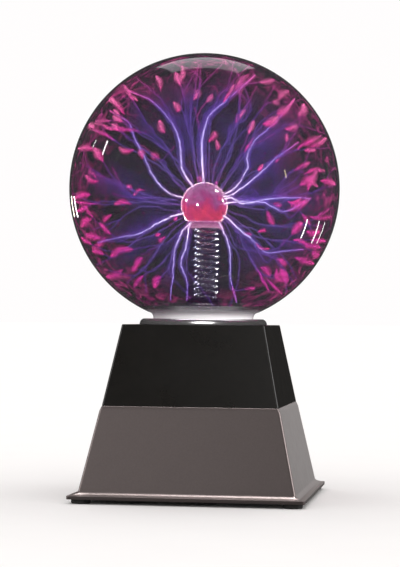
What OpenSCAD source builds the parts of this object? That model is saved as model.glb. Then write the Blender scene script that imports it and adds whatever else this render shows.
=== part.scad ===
/* [Globe] */
// Outer radius of the glass globe
globe_r = 76; // [70:0.5:78]
// Height of the globe's centre above the table
globe_z = 172.5; // [172:0.5:180]
// Outer radius of the globe's neck
neck_r = 28.1; // [27:0.1:28.3]
// Thickness of the globe's glass
globe_wall = 1.6; // [1.2:0.1:1.6]

/* [Electrode] */
// Outer radius of the electrode ball
ball_r = 13.35; // [11:0.05:16]
// Height of the electrode ball's centre above the table
ball_z = 163.1; // [160:0.1:172]
// Outer radius of the glass stem tube
stem_r = 9.3; // [9:0.1:9.4]
// Radius of the contact spring to the middle of its wire
coil_r = 6.25; // [5:0.05:6.3]
// Thickness of the spring's wire
coil_wire = 1.5; // [1:0.1:1.6]
// Rise of the spring in one turn
coil_pitch = 3.35; // [2.6:0.05:4.5]

/* [Base] */
// Half the width of the flange around the foot of the base
flange_half = 63.84; // [63.5:0.02:65]
// Half the width of the lower shell just above its flange
skirt_half = 58.46; // [58.3:0.02:59.2]
// Half the width of the base where its two shells meet
seam_half = 48.17; // [48:0.01:49]
// Half the width of the base's flat top
top_half = 39.16; // [39:0.02:41]
// Height of the seam between the two shells
seam_z = 51.8; // [50:0.1:54]
// Height of the base's flat top
top_z = 96.1; // [96:0.1:97]
// Radius of the base's upright corners
corner_r = 1.2; // [1:0.1:2.5]
// Thickness of the shells' walls
shell_wall = 2.4; // [2:0.1:2.6]

/* [Feet] */
// Height of the table gap that the feet leave under the flange
foot_h = 2.5; // [2:0.1:3]
// Radius of each rubber foot
foot_r = 5.3; // [4.5:0.1:6]
// Distance of each foot's centre from the middle, along both sides
foot_at = 57; // [56:0.5:58]

/* [Rear panel] */
// Sideways position of the rocker switch
switch_x = 17; // [12:1:22]
// Height of the rocker switch's middle
switch_z = 29; // [26:1:31]
// Rocker's tilt to each side of its middle position
rocker_tilt = 12; // [8:1:14]
// Sideways position of the power socket
jack_x = -20; // [-26:1:-16]
// Height of the power socket's middle
jack_z = 25; // [22:1:30]
// Radius of the power socket's centre pin
jack_pin_r = 1.05; // [1.05, 1.25]

/* [Hidden] */
$fn = 64;
eps = 0.01;
cut = 1;

// Neck, stem and collar
neck_end_z = 84;
neck_fit = 0.3;
stem_wall = 0.8;
stem_end_r = neck_r - globe_wall - 0.1;
flare_z = 105.3;
flare_wall = 1.2;
ball_wall = 1.2;
ball_cut_z = ball_z - 9.5;
ball_skirt_h = 3.3;
ball_skirt_r = 11.6;
coil_bottom_z = 110;
coil_lean = 1.35;
coil_rings = 12;
coil_sides = 6;
plug_bottom_z = 101;
seat_disc_h = 1.6;
collar_h = 3.3;
collar_foot_r = 35.8;
collar_top_r = 33;
collar_hole_r = 31.8;
spigot_r = collar_hole_r - 0.3;
spigot_wall = 1.5;
gasket_r = spigot_r - spigot_wall - 0.05;
gasket_z = 91;
lip_h = 1.6;

// Base shells
flange_edge_h = 1.8;
cove_h = 2.6;
cove_z = foot_h + flange_edge_h + cove_h;
chamfer_h = 2.4;
chamfer_out = 1.03;
corner_steps = 6;
cove_steps = 6;
plate_half = 57;
plate_gap = 0.2;
plate_z = 2.9;
plate_h = 2.2;
plate_top = plate_z + plate_h;
pad_r = 8.8;
pad_h = 4.1;
post_gap = 0.1;
pocket_depth = 0.6;
slot_run = 26;
slot_from = 26;
slot_pitch = 6;
air_slot_w = 2;
air_slots = 7;
tongue_wall = 1.3;
tongue_drop = 3;
edge_bevel = 0.6;
shoulder_z = seam_z - chamfer_h;
shoulder_half = seam_half + chamfer_out;
face_slope = (skirt_half - shoulder_half) / (shoulder_z - cove_z);
face_lean = atan(face_slope);
lower_inner_foot = skirt_half - shell_wall - 0.1;
lower_inner_top = seam_half - shell_wall + 0.1;
tongue_half = lower_inner_top - 0.2;

// Screws and their posts
screw_r = 1.45;
pilot_r = 1.5;
head_r = 2.75;
head_h = 2;
slot_w = 0.8;
post_r = 3.6;
rib_w = 2;
rib_reach = 14;
base_screw_at = 46;
base_post_top = 20;
base_screw_len = 11;
shell_screw_at = 38.5;
tab_z = 44;
tab_h = 3;
upper_post_top = 60;
shell_screw_len = 12;
seat_screw_at = 31;
ear_z = 84;
ear_h = 3;
seat_screw_len = 8.5;

// Globe seat
seat_ledge_z = 81.5;
seat_hole_r = 22;
seat_r = 31;
seat_bore_r = neck_r + neck_fit;
ear_w = 7;

// Circuit board and what stands on it
board_w = 80;
board_d = 66;
board_y = -11;
board_z = 14;
board_h = 1.6;
board_top = board_z + board_h;
board_screw_x = 35;
board_screw_y = 28;
board_post_r = 3.2;
board_screw_r = 1.2;
board_pilot_r = 1.25;
board_hole_r = 1.6;
board_screw_len = 7.5;
board_head_r = 2.4;
core_x = -18;
core_y = -8;
core_w = 34;
core_tall = 30;
core_leg = 8;
core_mid = (core_w - core_leg) / 2;
winding_gap = 0.3;
hv_r = 10.5;
hv_h = 13;
primary_r = 7.6;
winding_h = 13.4;
sink_x = 27;
sink_y = -18;
sink_w = 24;
sink_back = 2.5;
sink_d = 12;
sink_tall = 28;
fin_w = 1.5;
fins = 5;
tab_w = 10;
tab_d = 1.3;
transistor_tab_h = 16;
transistor_screw_len = 6;
leg_pitch = 2.54;
leg_w = 0.8;
leg_d = 0.5;
leg_h = 3;
transistor_d = 4.5;
transistor_h = 9;
tab_hole_z = 13;
tab_hole_r = 1.8;
// Each capacitor's place on the board, radius and height
capacitors = [[-30, -33, 5, 18], [-16, -33, 4, 12], [34, -2, 3.2, 11]];
mic_x = 6;
mic_y = -38;
mic_r = 4.85;
mic_h = 6.5;

// Power socket, in the rear face's own directions
jack_barrel_r = 5;
jack_hole_r = 5.2;
jack_proud = 0.5;
jack_bore_r = 2.8;
jack_bore_h = 9.5;
jack_pin_h = 9;
jack_body_w = 10.4;
jack_body_h = 11;
jack_body_d = 9;
jack_body_z = -2.8;
jack_tab_l = 3.5;
jack_tab_w = 2;
jack_tab_d = 0.6;

// Rocker switch, in the rear face's own directions
pivot_depth = 2;
bezel_w = 15.2;
bezel_l = 22;
bezel_h = 1.6;
body_w = 12.8;
body_l = 19.4;
body_d = 12;
well_w = 9.8;
well_l = 17;
well_floor = -3.3;
rocker_w = 9.2;
rocker_r = 8.2;
rocker_mid_h = 3.4;
rocker_end_h = 5.2;
pin_r = 0.75;
pin_bore_r = 0.8;
pin_len = 11.6;
terminal_l = 5;
terminal_w = 1.8;
terminal_d = 0.8;

// Wires: a route's points are along the wire's middle
hv_wire_r = 1.5;
hv_route = [
    [6, -8, 31], [8.5, -8, 31], [11, -8, 33], [12, -7, 38], [12, -6, 48], [10, -4, 60],
    [6, -2, 72], [2, 0, 82], [0.4, 0, 90], [0, 0, 96], [0, 0, 102], [0, 0, 108.3]
];
lead_r = 0.8;
jack_lead = [
    [-20, 35.2, 21.5], [-20, 33, 21.5], [-17, 30, 24], [-8, 28.5, 27], [2, 28.5, 28],
    [10, 28.5, 27], [13, 29.5, 25.3]
];
board_lead = [
    [21, 29.6, 25.3], [25, 27, 23], [29, 22, 19.5], [31, 18, 17.5], [31, 15, 16.4]
];
ground_lead = [
    [-24, 35.2, 21.5], [-24, 32, 21], [-26, 27, 19.5], [-28, 21, 18.5], [-29, 17, 17.5],
    [-29, 14, 16.4]
];

// A square's outline with round corners, at height z, anticlockwise from +X
function rounded_ring(half, r, z) = [
    for (c = [0:3]) for (i = [0:corner_steps])
        let (a = 90 * (c + i / corner_steps), m = half - r,
             sx = (c == 0 || c == 3) ? 1 : -1, sy = (c < 2) ? 1 : -1)
            [sx * m + r * cos(a), sy * m + r * sin(a), z]
];

// Closed surface through rings that all have the same number of points
module skin(rings) {
    n = len(rings[0]);
    last = len(rings) - 1;
    sides = [
        for (k = [0:last - 1]) for (i = [0:n - 1])
            [k * n + i, (k + 1) * n + i, (k + 1) * n + (i + 1) % n, k * n + (i + 1) % n]
    ];
    bottom = [for (i = [0:n - 1]) i];
    top = [for (i = [0:n - 1]) last * n + n - 1 - i];
    polyhedron([for (ring = rings) each ring], concat([bottom], sides, [top]), convexity = 6);
}

// Square tapering form given by [height, half width] levels
module tapered(levels) {
    skin([for (v = levels) rounded_ring(v[1], corner_r, v[0])]);
}

function unit(v) = v / norm(v);

// Round tube along a route, as a ring of points square to the way it runs
module wire(route, r, sides = 8) {
    last = len(route) - 1;
    rings = [
        for (k = [0:last])
            let (t = unit(route[min(k + 1, last)] - route[max(k - 1, 0)]),
                 u = unit(cross(t, abs(t[1]) < 0.8 ? [0, 1, 0] : [1, 0, 0])), w = cross(t, u))
                [for (i = [0:sides - 1]) let (a = 360 * i / sides)
                    route[k] + r * (cos(a) * w + sin(a) * u)]
    ];
    skin(rings);
}

module at_corners(d) {
    for (sx = [-1, 1]) for (sy = [-1, 1]) translate([sx * d, sy * d, 0]) children();
}

module ring(r_out, r_in, h, z = 0) {
    translate([0, 0, z]) difference() {
        cylinder(r = r_out, h = h);
        translate([0, 0, -cut]) cylinder(r = r_in, h = h + 2 * cut);
    }
}

// Pan-head screw pointing up, its head's underside at z = 0
module screw(len, r = screw_r, head = head_r) {
    difference() {
        union() {
            translate([0, 0, -head_h]) cylinder(r = head, h = head_h);
            cylinder(r = r, h = len);
        }
        for (turn = [0, 90]) rotate(turn)
            translate([-head * 0.65, -slot_w / 2, -head_h - cut])
                cube([head * 1.3, slot_w, cut + head_h / 2]);
    }
}

// Round post with a rib that ties it to the corner it stands in
module corner_post(at, z0, z1) {
    at_corners(at) translate([0, 0, z0]) cylinder(r = post_r, h = z1 - z0);
    for (a = [45:90:315]) rotate(a) translate([at * sqrt(2), -rib_w / 2, z0])
        cube([rib_reach, rib_w, z1 - z0]);
}

// Place on the rear face: x across, y up the slope, z straight out of it
module on_rear(x, z) {
    translate([x, face_half(z), z]) rotate([90 - face_lean, 0, 180]) children();
}

function face_half(z) = skirt_half - face_slope * (z - cove_z);

// Globe and electrode

module glass_globe() {
    color([0.16, 0.12, 0.2, 0.45]) difference() {
        union() {
            translate([0, 0, globe_z]) sphere(r = globe_r, $fn = 128);
            translate([0, 0, neck_end_z]) cylinder(r = neck_r, h = globe_z - globe_r / 2 - neck_end_z);
        }
        translate([0, 0, globe_z]) sphere(r = globe_r - globe_wall, $fn = 128);
        translate([0, 0, neck_end_z - cut])
            cylinder(r = neck_r - globe_wall, h = globe_z - globe_r / 2 - neck_end_z + cut);
    }
}

// Tube, trumpet flare and the sleeve that is fused inside the globe's neck
module stem_tube() {
    inner = stem_r - stem_wall;
    sleeve = stem_end_r - flare_wall;
    color([0.75, 0.75, 0.8, 0.4]) rotate_extrude($fn = 96) polygon([
        [stem_r, ball_cut_z], [stem_r, flare_z + 4.7], [stem_r + 0.7, flare_z + 2.1],
        [stem_r + 3.2, flare_z + 0.7], [stem_end_r - 2.9, flare_z], [stem_end_r - 0.6, flare_z - 1.3],
        [stem_end_r, flare_z - 3.8], [stem_end_r, neck_end_z], [sleeve, neck_end_z],
        [sleeve, flare_z - 4.1], [sleeve - 0.6, flare_z - 2.1], [sleeve - 2.2, flare_z - 1.2],
        [inner + 3.3, flare_z - 0.4], [inner + 0.7, flare_z + 0.9], [inner, flare_z + 4.2],
        [inner, ball_cut_z]
    ]);
}

// Hollow ball, flat underneath, with a skirt that opens down around the stem
module electrode_ball() {
    color([0.85, 0.35, 0.55]) difference() {
        union() {
            intersection() {
                translate([0, 0, ball_z]) sphere(r = ball_r, $fn = 96);
                translate([0, 0, ball_cut_z]) cylinder(r = ball_r + cut, h = 2 * ball_r);
            }
            translate([0, 0, ball_cut_z - ball_skirt_h])
                cylinder(r1 = ball_skirt_r, r2 = stem_r + 0.1, h = ball_skirt_h + ball_wall);
        }
        intersection() {
            translate([0, 0, ball_z]) sphere(r = ball_r - ball_wall, $fn = 96);
            translate([0, 0, ball_cut_z + ball_wall]) cylinder(r = ball_r, h = 2 * ball_r);
        }
        translate([0, 0, ball_cut_z - ball_skirt_h - eps])
            cylinder(r1 = ball_skirt_r - 0.9, r2 = stem_r + 0.05, h = ball_skirt_h + eps);
        translate([0, 0, ball_cut_z - cut]) cylinder(r = coil_r - 1.5, h = 2 * cut + ball_wall);
    }
}

module contact_spring() {
    z0 = coil_bottom_z + coil_wire / 2;
    z1 = ball_cut_z - coil_wire / 2;
    turns = (z1 - z0) / coil_pitch;
    steps = round(turns * coil_rings);
    color("silver") wire([
        for (i = [0:steps]) let (a = 360 * turns * i / steps)
            [coil_lean + coil_r * cos(a), coil_r * sin(a), z0 + (z1 - z0) * i / steps]
    ], coil_wire / 2, coil_sides);
}

module spring_seat() {
    color("goldenrod") translate([0, 0, coil_bottom_z - seat_disc_h])
        cylinder(r = stem_r - stem_wall - 0.4, h = seat_disc_h);
}

module stem_plug() {
    color("gainsboro") ring(stem_r - stem_wall - 0.05, hv_wire_r + 0.1,
                            coil_bottom_z - seat_disc_h - plug_bottom_z, plug_bottom_z);
}

// Sealed end of the tube that the globe was pumped out through
module exhaust_tip() {
    color([0.8, 0.8, 0.85, 0.5]) translate([16, 0, flare_z - 0.95]) mirror([0, 0, 1]) {
        cylinder(r = 3, h = 5);
        translate([0, 0, 5]) cylinder(r1 = 3, r2 = 0.8, h = 4);
    }
}

// Collar and what holds the globe

module neck_gasket() {
    color("dimgray") ring(gasket_r, neck_r + 0.05, top_z + collar_h - lip_h - gasket_z, gasket_z);
}

module collar_ring() {
    round_w = collar_foot_r - collar_top_r;
    lip_z = collar_h - lip_h;
    spigot_h = top_z - gasket_z;
    color("darkgray") translate([0, 0, top_z]) rotate_extrude($fn = 96) polygon(concat(
        [[neck_r + neck_fit, collar_h]],
        [[neck_r + neck_fit, lip_z], [spigot_r - spigot_wall, lip_z],
         [spigot_r - spigot_wall, -spigot_h], [spigot_r, -spigot_h], [spigot_r, 0]],
        [for (i = [0:6]) let (a = 15 * i)
            [collar_top_r + round_w * cos(a), collar_h * sin(a)]]
    ));
}

// Cup that the neck's end stands in, with four ears screwed to the upper shell
module globe_seat() {
    color([0.15, 0.15, 0.15]) difference() {
        union() {
            translate([0, 0, seat_ledge_z]) cylinder(r = seat_r, h = gasket_z - seat_ledge_z);
            for (a = [45:90:315]) rotate(a) translate([0, -ear_w / 2, ear_z])
                cube([seat_screw_at * sqrt(2), ear_w, ear_h]);
            at_corners(seat_screw_at) translate([0, 0, ear_z]) cylinder(r = post_r, h = ear_h);
        }
        translate([0, 0, neck_end_z]) cylinder(r = seat_bore_r, h = 20);
        translate([0, 0, seat_ledge_z - cut]) cylinder(r = seat_hole_r, h = 20);
        at_corners(seat_screw_at) translate([0, 0, ear_z - cut])
            cylinder(r = pilot_r + 0.1, h = ear_h + 2 * cut);
    }
}

module seat_screws() {
    color("silver") at_corners(seat_screw_at) translate([0, 0, ear_z]) screw(seat_screw_len);
}

// Base shells

module upper_outer() {
    tapered([[seam_z, seam_half], [top_z - edge_bevel, top_half + edge_bevel * face_slope],
             [top_z, top_half - edge_bevel / 2]]);
}

module upper_inner() {
    tapered([[seam_z - cut, tongue_half - 0.5], [top_z - shell_wall, top_half - shell_wall + 0.1]]);
}

module upper_shell() {
    color([0.12, 0.11, 0.1]) difference() {
        union() {
            difference() {
                upper_outer();
                upper_inner();
            }
            intersection() {
                union() {
                    corner_post(shell_screw_at, tab_z + tab_h, upper_post_top);
                    corner_post(seat_screw_at, ear_z + ear_h, top_z - shell_wall);
                }
                tapered([[tab_z + tab_h, tongue_half - tongue_wall], [seam_z, tongue_half - 0.4],
                         [top_z - edge_bevel, top_half - 1]]);
            }
            tapered([[seam_z - tongue_drop, tongue_half], [seam_z + 0.5, tongue_half]]);
        }
        difference() {
            tapered([[seam_z - tongue_drop - cut, tongue_half - tongue_wall],
                     [seam_z + 0.6, tongue_half - tongue_wall]]);
            corner_post(shell_screw_at, tab_z + tab_h, upper_post_top);
        }
        translate([0, 0, top_z - 2 * shell_wall]) cylinder(r = collar_hole_r, h = 3 * shell_wall);
        at_corners(shell_screw_at) translate([0, 0, tab_z + tab_h - cut])
            cylinder(r = pilot_r, h = shell_screw_len);
        at_corners(seat_screw_at) translate([0, 0, ear_z + ear_h - cut])
            cylinder(r = pilot_r, h = seat_screw_len - ear_h + cut + 0.5);
    }
}

module lower_outer() {
    out = flange_half - skirt_half;
    tapered(concat(
        [[foot_h, flange_half], [foot_h + flange_edge_h, flange_half]],
        [for (i = [1:cove_steps]) let (a = 90 * (1 - i / cove_steps))
            [cove_z - cove_h * sin(a), flange_half - out * cos(a)]],
        [[shoulder_z, shoulder_half], [seam_z, seam_half]]
    ));
}

module lower_inner() {
    tapered([[foot_h - cut, plate_half + plate_gap], [plate_top, plate_half + plate_gap],
             [plate_top, lower_inner_foot], [seam_z + cut, lower_inner_top]]);
}

module lower_shell() {
    color([0.42, 0.39, 0.38]) difference() {
        union() {
            difference() {
                lower_outer();
                lower_inner();
            }
            intersection() {
                union() {
                    corner_post(base_screw_at, plate_top + post_gap, base_post_top);
                    corner_post(shell_screw_at, tab_z, tab_z + tab_h);
                    at_corners(foot_at) translate([0, 0, foot_h])
                        cylinder(r = pad_r, h = pad_h);
                }
                tapered([[foot_h, flange_half - 1], [foot_h + 1, skirt_half - 0.5],
                         [shoulder_z, shoulder_half - 1]]);
            }
        }
        at_corners(base_screw_at) translate([0, 0, plate_top - cut])
            cylinder(r = pilot_r, h = base_screw_len + cut);
        at_corners(shell_screw_at) translate([0, 0, tab_z - cut])
            cylinder(r = pilot_r + 0.1, h = tab_h + 2 * cut);
        at_corners(foot_at) translate([0, 0, foot_h - cut])
            cylinder(r = foot_r + 0.05, h = cut + pocket_depth);
        on_rear(jack_x, jack_z) translate([0, 0, -2 * shell_wall])
            cylinder(r = jack_hole_r, h = 4 * shell_wall);
        on_rear(switch_x, switch_z)
            translate([-body_w / 2 - 0.15, -body_l / 2 - 0.15, -2 * shell_wall])
                cube([body_w + 0.3, body_l + 0.3, 4 * shell_wall]);
    }
}

module shell_screws() {
    color("silver") at_corners(shell_screw_at) translate([0, 0, tab_z]) screw(shell_screw_len);
}

// Cover under the base: air slots, screw holes and posts for the circuit board
module base_plate() {
    color([0.1, 0.1, 0.1]) difference() {
        union() {
            translate([-plate_half, -plate_half, plate_z])
                cube([2 * plate_half, 2 * plate_half, plate_h]);
            at_board_corners() cylinder(r = board_post_r, h = board_z - plate_z);
        }
        at_corners(foot_at) translate([0, 0, plate_z - cut]) cylinder(r = pad_r + 0.4, h = 4);
        at_corners(base_screw_at) translate([0, 0, plate_z - cut])
            cylinder(r = pilot_r + 0.1, h = plate_h + 2 * cut);
        at_corners(base_screw_at) translate([0, 0, plate_z - cut])
            cylinder(r = head_r + 0.2, h = cut + 1);
        for (k = [0:air_slots - 1])
            translate([slot_pitch * (k - (air_slots - 1) / 2) - air_slot_w / 2, slot_from, plate_z - cut])
                cube([air_slot_w, slot_run, plate_h + 2 * cut]);
        at_board_corners() translate([0, 0, plate_h + 2])
            cylinder(r = board_pilot_r, h = board_z - plate_top + cut);
    }
}

module at_board_corners() {
    for (sx = [-1, 1]) for (sy = [-1, 1])
        translate([sx * board_screw_x, board_y + sy * board_screw_y, plate_z]) children();
}

module base_screws() {
    color("silver") at_corners(base_screw_at) translate([0, 0, plate_z + 1]) screw(base_screw_len);
}

module foot(sx, sy) {
    color([0.08, 0.08, 0.08]) translate([sx * foot_at, sy * foot_at, 0]) {
        cylinder(r1 = foot_r - 0.5, r2 = foot_r, h = 0.5);
        translate([0, 0, 0.5]) cylinder(r = foot_r, h = foot_h + pocket_depth - 0.5);
    }
}

module foot_front_left() { foot(-1, -1); }
module foot_front_right() { foot(1, -1); }
module foot_rear_left() { foot(-1, 1); }
module foot_rear_right() { foot(1, 1); }

// Electronics

module circuit_board() {
    color([0.1, 0.35, 0.2]) difference() {
        translate([-board_w / 2, board_y - board_d / 2, board_z]) cube([board_w, board_d, board_h]);
        at_board_corners() cylinder(r = board_hole_r, h = 40);
    }
}

module board_screws() {
    color("silver") at_board_corners() translate([0, 0, board_top - plate_z]) mirror([0, 0, 1])
        screw(board_screw_len, board_screw_r, board_head_r);
}

// Two ferrite U pieces that close into one rectangular loop
module transformer_core() {
    color([0.2, 0.2, 0.21]) translate([core_x, core_y, board_top]) difference() {
        translate([-core_w / 2, -core_leg / 2, 0]) cube([core_w, core_leg, core_tall]);
        translate([core_leg - core_w / 2, -core_leg, core_leg])
            cube([core_w - 2 * core_leg, 2 * core_leg, core_tall - 2 * core_leg]);
    }
}

module winding(x, r, h) {
    hole = core_leg + 2 * winding_gap;
    translate([core_x + x, core_y, board_top + core_leg + (core_tall - 2 * core_leg - h) / 2])
        difference() {
            cylinder(r = r, h = h);
            translate([-hole / 2, -hole / 2, -cut]) cube([hole, hole, h + 2 * cut]);
        }
}

module hv_winding() { color([0.12, 0.1, 0.12]) winding(core_mid, hv_r, hv_h); }
module primary_winding() { color([0.7, 0.35, 0.15]) winding(-core_mid, primary_r, winding_h); }

module heat_sink() {
    step = (sink_w - fin_w) / (fins - 1);
    color([0.7, 0.7, 0.72]) translate([sink_x - sink_w / 2, sink_y, board_top]) difference() {
        union() {
            cube([sink_w, sink_back, sink_tall]);
            for (k = [0:fins - 1]) translate([k * step, 0, 0]) cube([fin_w, sink_d, sink_tall]);
        }
        translate([sink_w / 2, -cut, tab_hole_z]) rotate([-90, 0, 0])
            cylinder(r = pilot_r, h = sink_d + 2 * cut);
    }
}

// Moulded body on a metal tab, with three legs that stand on the board
module power_transistor() {
    color([0.15, 0.15, 0.16]) translate([sink_x, sink_y, board_top]) difference() {
        union() {
            translate([-tab_w / 2, -tab_d, leg_h]) cube([tab_w, tab_d, transistor_tab_h - leg_h]);
            translate([-tab_w / 2, -transistor_d, leg_h - 1]) cube([tab_w, transistor_d, transistor_h - 1]);
            for (k = [-1:1]) translate([leg_pitch * k - leg_w / 2, -2.6, 0]) cube([leg_w, leg_d, leg_h]);
        }
        translate([0, -transistor_d - cut, tab_hole_z]) rotate([-90, 0, 0])
            cylinder(r = tab_hole_r, h = transistor_d + 2 * cut);
    }
}

module transistor_screw() {
    color("silver") translate([sink_x, sink_y - tab_d, board_top + tab_hole_z])
        rotate([-90, 0, 0]) screw(transistor_screw_len);
}

module filter_capacitors() {
    color([0.15, 0.18, 0.4]) for (c = capacitors)
        translate([c[0], c[1], board_top]) cylinder(r = c[2], h = c[3]);
}

module microphone() {
    color("silver") translate([mic_x, mic_y, board_top]) difference() {
        cylinder(r = mic_r, h = mic_h);
        translate([0, 0, mic_h - 0.5]) cylinder(r = mic_r - 1, h = cut);
    }
}

// Power socket

module dc_jack() {
    color([0.08, 0.08, 0.08]) on_rear(jack_x, jack_z) difference() {
        union() {
            translate([0, 0, jack_body_z]) cylinder(r = jack_barrel_r, h = jack_proud - jack_body_z);
            translate([-jack_body_w / 2, -jack_body_h / 2, jack_body_z - jack_body_d])
                cube([jack_body_w, jack_body_h, jack_body_d]);
        }
        translate([0, 0, jack_proud - jack_bore_h]) cylinder(r = jack_bore_r, h = jack_bore_h + cut);
    }
}

// Centre pin and the two solder tabs behind the socket
module jack_contacts() {
    back = jack_body_z - jack_body_d;
    color("gold") on_rear(jack_x, jack_z) {
        translate([0, 0, jack_proud - jack_bore_h]) cylinder(r = jack_pin_r, h = jack_pin_h);
        for (x = [0, 4]) translate([x - jack_tab_w / 2, -2, back - jack_tab_l])
            cube([jack_tab_w, jack_tab_d, jack_tab_l]);
    }
}

// Rocker switch; the pivot lies a little under the rear face

module on_pivot() {
    on_rear(switch_x, switch_z) translate([0, 0, -pivot_depth]) children();
}

module switch_body() {
    color([0.06, 0.06, 0.06]) on_pivot() difference() {
        union() {
            translate([-bezel_w / 2, -bezel_l / 2, pivot_depth]) cube([bezel_w, bezel_l, bezel_h]);
            translate([-body_w / 2, -body_l / 2, -body_d]) cube([body_w, body_l, body_d + pivot_depth]);
        }
        translate([-well_w / 2, -well_l / 2, well_floor]) cube([well_w, well_l, 20]);
        translate([-pin_len / 2, 0, 0]) rotate([0, 90, 0]) cylinder(r = pin_r, h = pin_len);
    }
}

module switch_rocker() {
    color([0.04, 0.04, 0.04]) on_pivot() rotate([-rocker_tilt, 0, 0]) rotate([90, 0, 90])
        translate([0, 0, -rocker_w / 2]) linear_extrude(rocker_w) difference() {
            intersection() {
                circle(r = rocker_r, $fn = 96);
                polygon([
                    [0, rocker_mid_h], [-rocker_r, rocker_end_h], [-rocker_r, 1], [-2.5, -2],
                    [2.5, -2], [rocker_r, 1], [rocker_r, rocker_end_h]
                ]);
            }
            circle(r = pin_bore_r);
        }
}

module rocker_pin() {
    color("silver") on_pivot() translate([-pin_len / 2, 0, 0]) rotate([0, 90, 0])
        cylinder(r = pin_r, h = pin_len);
}

module switch_terminals() {
    color("gold") on_pivot() for (x = [-4, 0, 4])
        translate([x - terminal_w / 2, -2.4, -body_d - terminal_l])
            cube([terminal_w, terminal_d, terminal_l]);
}

// Wires

module hv_lead() { color("firebrick") wire(hv_route, hv_wire_r); }

module power_leads() {
    color("crimson") {
        wire(jack_lead, lead_r, 6);
        wire(board_lead, lead_r, 6);
        wire(ground_lead, lead_r, 6);
    }
}

glass_globe();
stem_tube();
electrode_ball();
contact_spring();
spring_seat();
stem_plug();
exhaust_tip();
neck_gasket();
collar_ring();
globe_seat();
seat_screws();
upper_shell();
lower_shell();
shell_screws();
base_plate();
base_screws();
foot_front_left();
foot_front_right();
foot_rear_left();
foot_rear_right();
circuit_board();
board_screws();
transformer_core();
hv_winding();
primary_winding();
power_transistor();
heat_sink();
transistor_screw();
filter_capacitors();
microphone();
dc_jack();
jack_contacts();
switch_body();
switch_rocker();
rocker_pin();
switch_terminals();
hv_lead();
power_leads();
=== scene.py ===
import math
import random

import bpy
from mathutils import Matrix, Vector, noise


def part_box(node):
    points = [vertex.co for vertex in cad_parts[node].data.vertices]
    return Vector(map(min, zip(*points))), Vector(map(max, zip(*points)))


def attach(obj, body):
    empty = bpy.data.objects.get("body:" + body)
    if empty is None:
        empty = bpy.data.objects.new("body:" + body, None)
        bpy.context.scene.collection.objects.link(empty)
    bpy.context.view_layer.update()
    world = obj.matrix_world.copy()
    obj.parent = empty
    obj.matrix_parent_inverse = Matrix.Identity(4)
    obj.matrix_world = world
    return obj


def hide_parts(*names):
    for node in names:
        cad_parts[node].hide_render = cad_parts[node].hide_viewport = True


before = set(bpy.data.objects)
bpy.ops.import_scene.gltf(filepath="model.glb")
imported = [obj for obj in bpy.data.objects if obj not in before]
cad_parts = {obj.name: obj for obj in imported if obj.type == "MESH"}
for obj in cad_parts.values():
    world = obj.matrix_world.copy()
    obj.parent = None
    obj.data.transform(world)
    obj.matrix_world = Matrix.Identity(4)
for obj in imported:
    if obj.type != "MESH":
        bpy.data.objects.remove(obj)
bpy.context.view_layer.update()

MM = 0.001

# Globe and stem, from the parts in model.glb; walls and blends in metres
GLOBE_LOW, GLOBE_HIGH = (Vector(c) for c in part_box("glass_globe"))
GLOBE_R = (GLOBE_HIGH.x - GLOBE_LOW.x) / 2
GLOBE_C = Vector((0, 0, GLOBE_HIGH.z - GLOBE_R))
GLOBE_WALL = 0.8 * MM
NECK_R = 28.1 * MM
NECK_BLEND = 2.6 * MM
STEM_LOW, STEM_HIGH = (Vector(c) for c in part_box("stem_tube"))
STEM_R = 9.3 * MM
FLARE_R = STEM_HIGH.x
FLARE_Z = 105.3 * MM
BALL_LOW, BALL_HIGH = (Vector(c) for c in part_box("electrode_ball"))
BALL_R = (BALL_HIGH.x - BALL_LOW.x) / 2
BALL_C = Vector((0, 0, BALL_HIGH.z - BALL_R))
BALL_FLAT_Z = BALL_C.z - 9.5 * MM
SPRING_LOW, SPRING_HIGH = (Vector(c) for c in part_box("contact_spring"))

# Base
COLLAR_LOW, COLLAR_HIGH = (Vector(c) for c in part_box("collar_ring"))
UPPER_LOW, UPPER_HIGH = (Vector(c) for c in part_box("upper_shell"))
LOWER_LOW, LOWER_HIGH = (Vector(c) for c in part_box("lower_shell"))
SEAM_Z = LOWER_HIGH.z
TOP_Z = UPPER_HIGH.z
SEAM_HALF = 48.17 * MM
TOP_HALF = 39.16 * MM
SHOULDER_HALF = 49.2 * MM
SHOULDER_DROP = 2.4 * MM
SKIRT_HALF = 58.46 * MM
FLANGE_HALF = LOWER_HIGH.x
FLANGE_EDGE = 1.8 * MM
COVE_H = 2.6 * MM
SHELL_WALL = 2.4 * MM
FACE_LEAN = math.radians(12.29)
NECK_HOLE_R = 31.8 * MM
FOOT_PLACE = 57 * MM
FOOT_PAD_R = 8.8 * MM

# How much of what is inside the smoked wall gets out through it
GLASS_PASS = 0.14

# How far the side on show is turned from the front, towards the right
SHOW_TURN = math.radians(8.43)
SHOW_RIGHT = Vector((math.cos(SHOW_TURN), math.sin(SHOW_TURN), 0))
SHOW_FRONT = Vector((math.sin(SHOW_TURN), -math.cos(SHOW_TURN), 0))
INNER_R = GLOBE_R - GLOBE_WALL


# ---------- making ----------

def start_clean():
    if bpy.context.object and bpy.context.object.mode != "OBJECT":
        bpy.ops.object.mode_set(mode="OBJECT")
    bpy.ops.object.select_all(action="DESELECT")


def edit(select="NONE"):
    bpy.ops.object.mode_set(mode="EDIT")
    if select == "NONE":
        bpy.ops.mesh.select_all(action="DESELECT")


def leave_edit():
    bpy.ops.object.mode_set(mode="OBJECT")


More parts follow.
